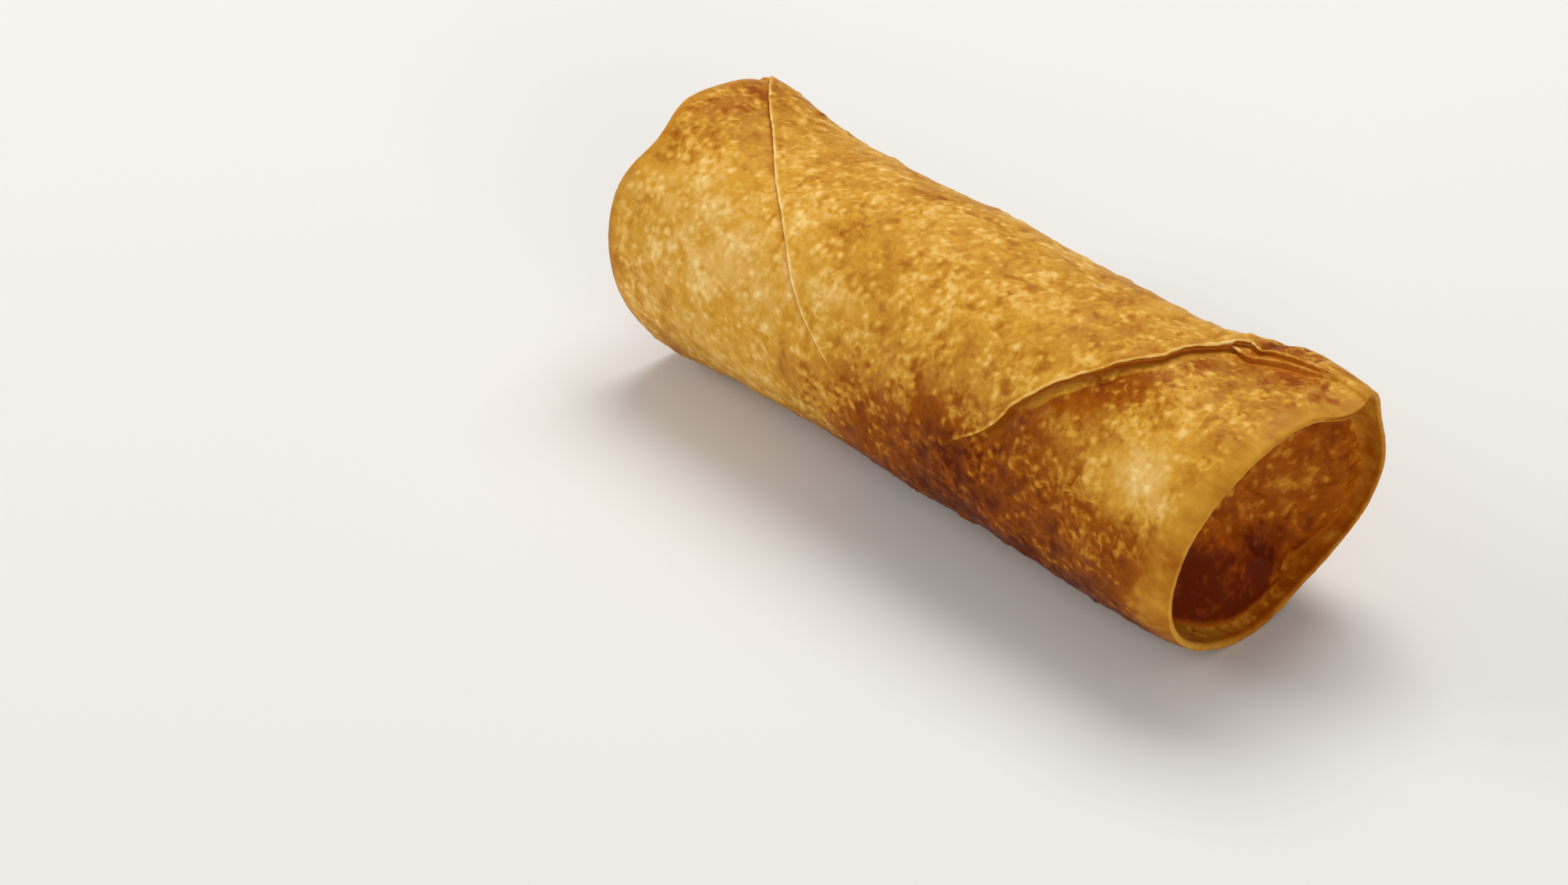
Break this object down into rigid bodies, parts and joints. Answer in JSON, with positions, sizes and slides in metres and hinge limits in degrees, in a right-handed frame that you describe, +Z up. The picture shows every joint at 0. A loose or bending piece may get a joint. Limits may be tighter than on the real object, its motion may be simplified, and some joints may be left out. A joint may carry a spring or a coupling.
{
  "type": "spring roll",
  "caption": "Whole fried spring roll: golden pastry wound round a filling, with a skewed triangular closing flap and folded-in open ends, lying on its side.",
  "frame": {"origin": "middle of the bounding box's bottom, on the surface that the roll rests on", "axes": "+X along the roll, towards its wide open end; +Y to the back, where the closing flap starts; +Z up"},
  "size_m": [0.1276, 0.045, 0.0411],
  "materials": {
    "fried_crust": "golden-brown fried pastry, blistered and speckled, with a slight oily shine"
  },
  "bodies": {
    "root": {"spring_roll": "fried_crust"}
  },
  "joints": []
}
